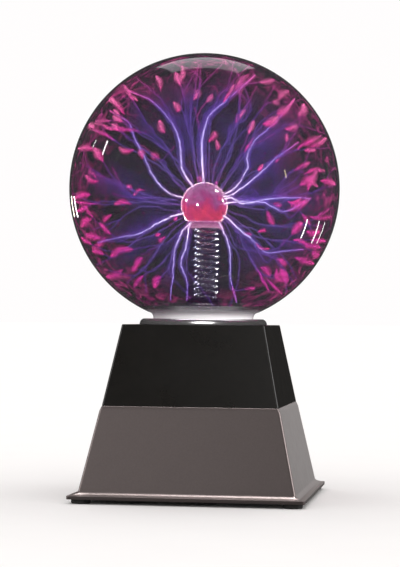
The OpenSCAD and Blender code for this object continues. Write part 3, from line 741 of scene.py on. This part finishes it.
def make_webs(trunks):
    """Sheets of violet light that hang between neighbouring streamers, brightest along them."""
    rng = random.Random(21)
    rows, columns = 22, 8
    middles = [(line[int(len(line) * 0.6)] - BALL_C).normalized() for line, bright in trunks]
    pairs = []
    for i in range(len(trunks)):
        near = sorted((middles[i].angle(middles[j]), j) for j in range(i + 1, len(trunks)))
        pairs += [(i, j) for angle, j in near[:3] if 0.12 < angle < 0.62 and rng.random() < 0.42]
    start_clean()
    sheets = []
    for i, j in pairs:
        bpy.ops.mesh.primitive_grid_add(x_subdivisions=rows, y_subdivisions=columns, size=1)
        sheet = bpy.context.object
        sheets.append(sheet)
        first = resample(trunks[i][0], 0.06, 0.985, rows + 1)
        second = resample(trunks[j][0], 0.06, 0.985, rows + 1)
        reach = rng.uniform(0.35, 1.0)
        level = rng.uniform(0.55, 1.0) * (0.5 + 0.5 * max(trunks[i][1], trunks[j][1]))
        paint = sheet.data.color_attributes.new("veil", "FLOAT_COLOR", "POINT")
        for v in sheet.data.vertices:
            t = v.co.x + 0.5
            u = (v.co.y + 0.5) * reach
            k = min(int(round(t * rows)), rows)
            place = first[k].lerp(second[k], u)
            out_to = (first[k] - BALL_C).length * (1 - u) + (second[k] - BALL_C).length * u
            v.co = keep_inside(BALL_C + (place - BALL_C).normalized() * out_to)
            rim = (1 - u / reach) if reach < 0.9 else abs(2 * u - 1)
            fade = (0.2 + 0.8 * rim ** 1.6) * min(1, t * 4) * (1 - 0.75 * max(0, t - 0.7) / 0.3)
            if reach < 0.9:
                fade *= min(1, 4 * (1 - u / reach))
            pink = max(0, t - 0.62) / 0.38
            paint.data[v.index].color = (0.15 + 0.45 * pink, 0.06, 0.55 - 0.2 * pink, fade * level * 0.3)
    bpy.ops.object.select_all(action="DESELECT")
    for sheet in sheets:
        sheet.select_set(True)
    bpy.context.view_layer.objects.active = sheets[0]
    bpy.ops.object.join()
    settle(bpy.context.object, "plasma_webs", [veil_light()], (), 80)


def make_haze():
    """Two thin shells of pink haze just inside the glass, open at the neck."""
    layers = ((0.2 * MM, (0, 0, 0), 0.52, 0.72, 0.55), (2.4 * MM, (0.31, 0.12, 0.2), 0.54, 0.74, 0.45))
    for i, (inset, shift, low, high, alpha) in enumerate(layers):
        start_clean()
        bpy.ops.mesh.primitive_uv_sphere_add(segments=96, ring_count=64, radius=INNER_R - inset,
                                             location=GLOBE_C)
        bpy.ops.object.transform_apply(location=True)
        shell = bpy.context.object
        edit()
        bpy.ops.mesh.select_all(action="SELECT")
        bpy.ops.mesh.bisect(plane_co=(0, 0, FLARE_Z + 1.5 * MM), plane_no=(0, 0, 1), clear_inner=True)
        leave_edit()
        light = haze_light(f"contact_haze_light_{i + 1}", shift, low, high, alpha)
        settle(shell, f"contact_haze_{i + 1}", [light], (), 60)


# ---------- base ----------

def soften(obj, corner_test, radius, edge_width):
    """Rounds the chosen upright corners, then breaks every other hard edge."""
    choose(obj, "edges", corner_test)
    bpy.ops.mesh.bevel(offset=radius, segments=5, affect="EDGES")
    leave_edit()
    apply_modifier(obj, "BEVEL", width=edge_width, segments=2, limit_method="ANGLE",
                   angle_limit=math.radians(22))


def upright(edge, obj):
    a, b = (obj.data.vertices[i].co for i in edge.vertices)
    return abs(a.z - b.z) > 0.4 * (a - b).length and abs(abs(a.x) - abs(a.y)) < 0.0001


def on_rear(x, z):
    """The place and turn of a fitting in the rear face, with its own z axis pointing straight out of it."""
    foot_z = LOWER_LOW.z + FLANGE_EDGE + COVE_H
    half = SKIRT_HALF - (z - foot_z) * math.tan(FACE_LEAN)
    return Matrix.Translation((x, half, z)) @ Matrix.Rotation(math.pi, 4, "Z") @ \
        Matrix.Rotation(math.pi / 2 - FACE_LEAN, 4, "X")


def carve(obj, tool, operation="DIFFERENCE"):
    """Cuts a tool out of a piece, or joins it on, and throws the tool away."""
    bpy.ops.object.select_all(action="DESELECT")
    bpy.context.view_layer.objects.active = obj
    obj.select_set(True)
    apply_modifier(obj, "BOOLEAN", operation=operation, object=tool, solver="EXACT")
    bpy.data.objects.remove(tool, do_unlink=True)


def round_tool(radius, low, high, place=Matrix(), segments=64):
    start_clean()
    bpy.ops.mesh.primitive_cylinder_add(vertices=segments, radius=radius, depth=high - low,
                                        location=(0, 0, (low + high) / 2))
    tool = bpy.context.object
    bpy.ops.object.transform_apply(location=True)
    tool.data.transform(place)
    return tool


def square_tool(width, height, low, high, place=Matrix()):
    start_clean()
    bpy.ops.mesh.primitive_cube_add(size=1, location=(0, 0, (low + high) / 2), scale=(width, height, high - low))
    tool = bpy.context.object
    bpy.ops.object.transform_apply(location=True, scale=True)
    tool.data.transform(place)
    return tool


def make_upper_shell():
    inner_top = TOP_HALF - SHELL_WALL
    outline = [(SEAM_HALF - SHELL_WALL, SEAM_Z), (SEAM_HALF, SEAM_Z), (TOP_HALF, TOP_Z)]
    shell = drawn(outline, 4, math.pi / 4)
    choose(shell, "edges", lambda edge, mid: mid.z > TOP_Z - 0.0001)
    first_hole = 12 * MM
    bpy.ops.mesh.extrude_region_move(TRANSFORM_OT_translate={"value": (0, 0, 0)})
    grow = first_hole / TOP_HALF
    bpy.ops.transform.resize(value=(grow, grow, 1), center_override=(0, 0, TOP_Z))
    bpy.ops.mesh.extrude_region_move(TRANSFORM_OT_translate={"value": (0, 0, -SHELL_WALL)})
    grow = inner_top / first_hole
    bpy.ops.mesh.extrude_region_move(TRANSFORM_OT_translate={"value": (0, 0, 0)})
    bpy.ops.transform.resize(value=(grow, grow, 1), center_override=(0, 0, TOP_Z - SHELL_WALL))
    bpy.ops.mesh.extrude_region_move(TRANSFORM_OT_translate={"value": (0, 0, SEAM_Z - TOP_Z + SHELL_WALL)})
    grow = (SEAM_HALF - SHELL_WALL) / inner_top
    bpy.ops.transform.resize(value=(grow, grow, 1), center_override=(0, 0, SEAM_Z))
    face_out()
    leave_edit()
    corner = 30 * MM
    soften(shell, lambda edge, mid: upright(edge, shell) and min(abs(mid.x), abs(mid.y)) > corner,
           1.3 * MM, 0.35 * MM)
    carve(shell, round_tool(NECK_HOLE_R, TOP_Z - 8 * MM, TOP_Z + 4 * MM, segments=128))
    black = surface("black_lacquer", (0.006, 0.005, 0.004), (0.008, 0.0065, 0.005), (0.26, 0.34), 0.0, 0.003,
                    depth=0.00001, bump_size=0.0006, specular=0.45)
    settle(shell, "upper_shell_skin", [black], ["upper_shell"], 30)
    apply_modifier(shell, "WEIGHTED_NORMAL", keep_sharp=True)


def make_lower_shell():
    inner_foot = 55.9 * MM
    inner_top = 45.9 * MM
    cove = [(FLANGE_HALF - (FLANGE_HALF - SKIRT_HALF) * math.cos(a), LOWER_LOW.z + FLANGE_EDGE + COVE_H * (1 - math.sin(a)))
            for a in (math.radians(90 - 11.25 * i) for i in range(9))]
    outline = [(inner_top, SEAM_Z), (inner_foot, LOWER_LOW.z + 2.6 * MM), (57.2 * MM, LOWER_LOW.z + 2.6 * MM),
               (57.2 * MM, LOWER_LOW.z), (FLANGE_HALF, LOWER_LOW.z)] + cove + \
              [(SHOULDER_HALF, SEAM_Z - SHOULDER_DROP), (SEAM_HALF, SEAM_Z)]
    shell = drawn(outline, 4, math.pi / 4, closed=True)
    soften(shell, lambda edge, mid: upright(edge, shell) and min(abs(mid.x), abs(mid.y)) > 46.5 * MM
           and (mid.z > LOWER_LOW.z + FLANGE_EDGE + COVE_H or abs(mid.x) > SKIRT_HALF - 0.001),
           1.2 * MM, 0.1 * MM)
    for x in (-FOOT_PLACE, FOOT_PLACE):
        for y in (-FOOT_PLACE, FOOT_PLACE):
            pad = round_tool(FOOT_PAD_R, LOWER_LOW.z, LOWER_LOW.z + 1.5 * MM, Matrix.Translation((x, y, 0)))
            inside = 2 * (FLANGE_HALF - 1 * MM)
            carve(pad, square_tool(inside, inside, 0, 0.02), "INTERSECT")
            carve(shell, pad, "UNION")
    carve(shell, square_tool(13.1 * MM, 19.7 * MM, -9 * MM, 9 * MM, on_rear(17 * MM, 29 * MM)))
    carve(shell, round_tool(5.2 * MM, -9 * MM, 9 * MM, on_rear(-20 * MM, 25 * MM)))
    metal = surface("gunmetal_lacquer", (0.215, 0.178, 0.172), (0.23, 0.192, 0.186), (0.37, 0.4), 0.92, 0.0009,
                    depth=0.000003, bump_size=0.0005, specular=0.5, detail=2.0)
    settle(shell, "lower_shell_skin", [metal], ["lower_shell"], 30)
    apply_modifier(shell, "WEIGHTED_NORMAL", keep_sharp=True)


def make_collar():
    round_w = 2.8 * MM
    collar_h = COLLAR_HIGH.z - TOP_Z
    top_r = COLLAR_HIGH.x - round_w
    outline = [(28.4 * MM, COLLAR_HIGH.z - 1.6 * MM), (28.4 * MM, COLLAR_HIGH.z - 0.3 * MM),
               (28.7 * MM, COLLAR_HIGH.z)] + \
        [(top_r + round_w * math.cos(a), TOP_Z + collar_h * math.sin(a))
         for a in (math.radians(90 - 9 * i) for i in range(11))] + \
        [(31.5 * MM, TOP_Z), (31.5 * MM, COLLAR_LOW.z), (30 * MM, COLLAR_LOW.z), (30 * MM, COLLAR_HIGH.z - 1.6 * MM)]
    ring = drawn(outline, 128, closed=True)
    grey = surface("collar_lacquer", (0.3, 0.29, 0.295), (0.36, 0.35, 0.355), (0.16, 0.24), 0.85, 0.002,
                   depth=0.000004, bump_size=0.0008, coat=0.3)
    settle(ring, "collar_trim", [grey], ["collar_ring"], 40)


# ---------- carried-over nodes ----------

def finish_nodes():
    dull_steel = surface("zinc_screw", (0.45, 0.45, 0.44), (0.62, 0.61, 0.6), (0.25, 0.45), 1.0, 0.0008)
    rubber = surface("foot_rubber", (0.012, 0.012, 0.012), (0.022, 0.021, 0.02), (0.7, 0.9), 0.0, 0.001,
                     depth=0.00004)
    moulded = surface("black_moulding", (0.014, 0.014, 0.014), (0.022, 0.022, 0.022), (0.45, 0.65), 0.0,
                      0.0012, depth=0.00003, bump_size=0.0007)
    contact = surface("contact_metal", (0.6, 0.48, 0.26), (0.78, 0.66, 0.4), (0.2, 0.35), 1.0, 0.0008)
    finishes = {
        "spring_seat": surface("turned_brass", (0.6, 0.42, 0.16), (0.75, 0.56, 0.26), (0.2, 0.35), 1.0, 0.001),
        "stem_plug": surface("pale_silicone", (0.5, 0.49, 0.48), (0.62, 0.61, 0.6), (0.45, 0.6), 0.0, 0.002),
        "exhaust_tip": bright_glass("tip_glass", (0.3, 0.3, 0.34), 0.35),
        "neck_gasket": rubber, "globe_seat": moulded, "seat_screws": dull_steel, "shell_screws": dull_steel,
        "board_screws": dull_steel, "transistor_screw": dull_steel, "rocker_pin": dull_steel,
        "base_plate": moulded,
        "base_screws": surface("black_screw", (0.03, 0.03, 0.03), (0.06, 0.06, 0.06), (0.3, 0.5), 1.0, 0.0008),
        "foot_front_left": rubber, "foot_front_right": rubber, "foot_rear_left": rubber, "foot_rear_right": rubber,
        "circuit_board": surface("solder_mask", (0.008, 0.07, 0.03), (0.014, 0.1, 0.045), (0.25, 0.4), 0.0, 0.003),
        "transformer_core": surface("sintered_ferrite", (0.035, 0.035, 0.038), (0.06, 0.06, 0.064), (0.6, 0.8),
                                    0.0, 0.0008, depth=0.00005),
        "hv_winding": surface("potting_resin", (0.01, 0.01, 0.012), (0.02, 0.018, 0.02), (0.15, 0.3), 0.0, 0.004),
        "primary_winding": surface("enamelled_copper", (0.35, 0.11, 0.03), (0.6, 0.22, 0.07), (0.2, 0.35), 1.0,
                                   0.0008, stretch=(0.1, 0.1, 3), depth=0.0002),
        "power_transistor": surface("moulded_epoxy", (0.015, 0.015, 0.016), (0.03, 0.03, 0.032), (0.4, 0.6), 0.0,
                                    0.001, depth=0.00003),
        "heat_sink": surface("extruded_aluminium", (0.5, 0.5, 0.51), (0.66, 0.66, 0.68), (0.3, 0.45), 1.0, 0.001,
                             stretch=(3, 3, 0.2)),
        "filter_capacitors": surface("capacitor_sleeve", (0.01, 0.015, 0.07), (0.02, 0.03, 0.12), (0.2, 0.35), 0.0,
                                     0.004),
        "microphone": surface("capsule_can", (0.5, 0.5, 0.5), (0.66, 0.66, 0.66), (0.25, 0.4), 1.0, 0.001),
        "dc_jack": moulded, "switch_body": moulded,
        "switch_rocker": surface("rocker_plastic", (0.01, 0.01, 0.01), (0.015, 0.015, 0.015), (0.28, 0.4), 0.0,
                                 0.002, depth=0.00001),
        "jack_contacts": contact, "switch_terminals": contact,
        "hv_lead": surface("silicone_lead", (0.4, 0.02, 0.015), (0.55, 0.04, 0.025), (0.35, 0.5), 0.0, 0.002),
        "power_leads": surface("lead_sleeve", (0.35, 0.02, 0.02), (0.5, 0.035, 0.03), (0.3, 0.45), 0.0, 0.002),
    }
    for name, mat in finishes.items():
        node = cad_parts[name]
        node.data.materials.clear()
        node.data.materials.append(mat)


# ---------- studio ----------

CAMERA_HEADING = math.radians(8.54)
CAMERA_PITCH = math.radians(1.05)
CAMERA_ROLL = math.radians(0.51)
CAMERA_DISTANCE = 1.0614
CAMERA_HEIGHT = 0.0998
CAMERA_LENS = 119.8


def make_camera():
    data = bpy.data.cameras.new("camera")
    data.lens = CAMERA_LENS
    data.sensor_width = 36
    data.clip_end = 400
    camera = bpy.data.objects.new("camera", data)
    bpy.context.collection.objects.link(camera)
    forward = Vector((-math.sin(CAMERA_HEADING) * math.cos(CAMERA_PITCH),
                      math.cos(CAMERA_HEADING) * math.cos(CAMERA_PITCH), math.sin(CAMERA_PITCH)))
    right = forward.cross(Vector((0, 0, 1))).normalized()
    up = right.cross(forward)
    turned_right = right * math.cos(CAMERA_ROLL) + up * math.sin(CAMERA_ROLL)
    turned_up = up * math.cos(CAMERA_ROLL) - right * math.sin(CAMERA_ROLL)
    rotation = Matrix((turned_right, turned_up, -forward)).transposed()
    place = Vector((CAMERA_DISTANCE * math.sin(SHOW_TURN), -CAMERA_DISTANCE * math.cos(SHOW_TURN),
                    CAMERA_HEIGHT))
    camera.matrix_world = Matrix.Translation(place) @ rotation.to_4x4()
    bpy.context.scene.camera = camera


def add_light(name, place, target, size, power, colour=(1, 1, 1)):
    data = bpy.data.lights.new(name, "AREA")
    data.shape = "RECTANGLE"
    data.size, data.size_y = size
    data.energy = power
    data.color = colour
    light = bpy.data.objects.new(name, data)
    bpy.context.collection.objects.link(light)
    light.location = place
    light.rotation_euler = (Vector(target) - Vector(place)).to_track_quat("-Z", "Y").to_euler()
    light.visible_camera = False
    return light


def from_globe(place):
    """A place given as metres right of, above and behind the globe's middle, seen from the side on show."""
    across, up, away = place
    return GLOBE_C + SHOW_RIGHT * across + Vector((0, 0, up)) - SHOW_FRONT * away


def strip_light(name, one_end, other_end, width, radiance, colour=(1, 1, 1), target=GLOBE_C):
    """A strip light between two places, facing the globe."""
    one, other = from_globe(one_end), from_globe(other_end)
    middle, along = (one + other) / 2, (one - other).normalized()
    light = add_light(name, middle, target, (width, (one - other).length),
                      radiance * math.pi * width * (one - other).length, colour)
    out = (middle - target).normalized()
    side = along.cross(out).normalized()
    light.rotation_euler = Matrix((side, out.cross(side), out)).transposed().to_euler()
    return light


def spark_light(name, place, power, radius=3 * MM):
    data = bpy.data.lights.new(name, "POINT")
    data.energy = power
    data.shadow_soft_size = radius
    light = bpy.data.objects.new(name, data)
    bpy.context.collection.objects.link(light)
    light.location = place
    light.visible_camera = False
    return light


def shine_only_on(lights, names):
    """Lets these lights reach, and be shaded by, only the pieces with these names."""
    group = bpy.data.collections.new(lights[0].name + "_receivers")
    for name in names:
        group.objects.link(bpy.data.objects[name])
    for light in lights:
        light.light_linking.receiver_collection = group
        light.light_linking.blocker_collection = group


def make_world():
    world = bpy.data.worlds.new("studio")
    bpy.context.scene.world = world
    world.use_nodes = True
    tree = world.node_tree
    tree.nodes.clear()
    path = tree.nodes.new("ShaderNodeLightPath")
    seen = tree.nodes.new("ShaderNodeBackground")
    seen.inputs["Color"].default_value = (1.0, 0.985, 0.985, 1)
    fill = tree.nodes.new("ShaderNodeBackground")
    fill.inputs["Color"].default_value = (1.0, 0.99, 0.98, 1)
    fill.inputs["Strength"].default_value = 1.15
    mirror = tree.nodes.new("ShaderNodeBackground")
    mirror.inputs["Color"].default_value = (1.0, 0.97, 0.95, 1)
    mirror.inputs["Strength"].default_value = 0.04
    glossy = tree.nodes.new("ShaderNodeMixShader")
    camera = tree.nodes.new("ShaderNodeMixShader")
    out = tree.nodes.new("ShaderNodeOutputWorld")
    tree.links.new(path.outputs["Is Glossy Ray"], glossy.inputs["Fac"])
    tree.links.new(fill.outputs[0], glossy.inputs[1])
    tree.links.new(mirror.outputs[0], glossy.inputs[2])
    tree.links.new(path.outputs["Is Camera Ray"], camera.inputs["Fac"])
    tree.links.new(glossy.outputs[0], camera.inputs[1])
    tree.links.new(seen.outputs[0], camera.inputs[2])
    tree.links.new(camera.outputs[0], out.inputs["Surface"])


def make_floor():
    start_clean()
    bpy.ops.mesh.primitive_plane_add(size=60, location=(0, 0, 0))
    floor = bpy.context.object
    floor.name = "floor"
    mat = surface("pale_floor", (0.9, 0.885, 0.88), (0.91, 0.895, 0.89), (0.85, 0.9), 0.0, 0.05, specular=0.0)
    floor.data.materials.append(mat)
    floor.visible_glossy = False


def light_globe():
    """Soft box and strips that only the globe's glass shows."""
    lights = [
        strip_light("top_box", (0, 0.655, 0.75), (0, 0.91, 0.42), 0.5, 1.35, (0.97, 0.94, 1.0)),
        strip_light("left_strip_1", (-0.27, 0.012, 0.42), (-0.27, -0.032, 0.42), 0.012, 30, (1.0, 0.95, 0.7)),
        strip_light("left_strip_2", (-0.336, 0.004, 0.37), (-0.348, -0.056, 0.355), 0.012, 30),
        strip_light("left_strip_3", (-0.448, 0.22, 0.036), (-0.474, 0.156, 0.033), 0.012, 30),
        strip_light("left_strip_4", (-0.425, 0.2, 0.17), (-0.436, 0.168, 0.178), 0.007, 16),
        strip_light("right_strip_1", (0.479, -0.132, 0.053), (0.445, -0.217, 0.07), 0.012, 34),
        strip_light("right_strip_2", (0.445, -0.106, 0.2), (0.41, -0.188, 0.215), 0.01, 22),
        strip_light("right_strip_3", (0.404, -0.088, 0.282), (0.378, -0.162, 0.285), 0.008, 12),
        strip_light("right_strip_4", (0.447, 0.097, -0.2), (0.458, 0.052, -0.194), 0.01, 14, (1.0, 0.85, 0.5))
    ]
    neck_fill = add_light("neck_fill", from_globe((0.25, -0.05, -0.55)), (0, 0, STEM_LOW.z), (0.2, 0.2), 4.0)
    neck_fill.visible_glossy = False
    shine_only_on(lights + [neck_fill], ["globe_glass"])


def light_electrode():
    """Small lights under the glass that give the ball its sparkle and its pale edge."""
    around = [(-0.485, 0.0, -0.88), (0.64, 0.76, 0.04), (-0.95, 0.28, 0.02), (0.96, 0.27, 0.1),
              (0.5, -0.3, 0.8), (-0.5, -0.3, 0.8), (0.0, 0.6, 0.8)]
    lights = []
    for i, (across, up, away) in enumerate(around):
        direction = SHOW_RIGHT * across + Vector((0, 0, up)) - SHOW_FRONT * away
        lights.append(spark_light(f"spark_{i + 1}", BALL_C + direction * 45 * MM, 0.3))
    panel = 90 * MM
    lights.append(add_light("rim_panel", BALL_C - SHOW_FRONT * 40 * MM, BALL_C, (panel, panel),
                            13 * math.pi * panel ** 2, (1.0, 0.74, 0.86)))
    shine_only_on(lights, ["electrode_core"])
    coil = [
        strip_light("coil_light_right", (0.045, -0.015, 0.024), (0.045, -0.065, 0.024), 0.02, 150,
                    target=Vector((0, 0, SPRING_LOW.z))),
        strip_light("coil_light_left", (-0.045, -0.015, 0.024), (-0.045, -0.065, 0.024), 0.02, 80,
                    (0.8, 0.8, 1.0), Vector((0, 0, SPRING_LOW.z)))
    ]
    shine_only_on(coil, ["spring_coil"])


def light_base():
    """Big soft boxes for the base alone."""
    shells = ["lower_shell_skin", "upper_shell_skin"]
    trim = ["collar_trim", "base_plate", "foot_front_left", "foot_front_right", "foot_rear_left",
            "foot_rear_right", "dc_jack", "jack_contacts", "switch_body", "switch_rocker", "base_screws"]
    boxes = [
        add_light("right_box", (1.3, -0.1, 0.55), (0, 0, 0.08), (0.9, 0.9), 12),
        add_light("left_box", (-1.3, -0.6, 0.4), (0, 0, 0.1), (0.7, 0.9), 7)
    ]
    shine_only_on(boxes, shells + trim[1:])
    cards = [
        add_light("back_card", (0.45, 2.2, 0.3), (0, 0, 0.03), (1.1, 0.9), 2.4),
        add_light("overhead_box", (0.1, 0.12, 1.3), (0, 0, 0.05), (1.2, 0.4), 32)
    ]
    shine_only_on(cards, ["lower_shell_skin"])
    shine_only_on([add_light("front_card", (0.16, -0.95, 0.5), (0, 0, 0.07), (0.4, 0.5), 0.7)],
                  ["upper_shell_skin"])
    shine_only_on([add_light("low_front_card", (-0.42, -1.2, 0.5), (0, 0, 0.04), (0.8, 0.5), 0.85)],
                  ["lower_shell_skin"])
    shine_only_on([add_light("collar_box", (0.13, -0.9, 0.8), (0, 0, COLLAR_HIGH.z), (0.6, 0.5), 14),
                   add_light("collar_back_box", (0.0, 0.5, 1.0), (0, 0, COLLAR_HIGH.z), (0.7, 0.5), 5)],
                  ["collar_trim"])


def make_studio():
    make_world()
    make_floor()
    light_globe()
    light_electrode()
    light_base()


make_camera()
make_globe()
make_stem()
make_spring()
make_electrode()
main_lines, fork_lines = streamer_set()
make_streamers(main_lines, fork_lines)
make_flames(main_lines, fork_lines)
make_webs(main_lines)
make_haze()
make_upper_shell()
make_lower_shell()
make_collar()
finish_nodes()
make_studio()
bpy.context.scene.view_settings.view_transform = "Standard"
bpy.context.scene.cycles.transparent_max_bounces = 96
bpy.context.scene.cycles.max_bounces = 12
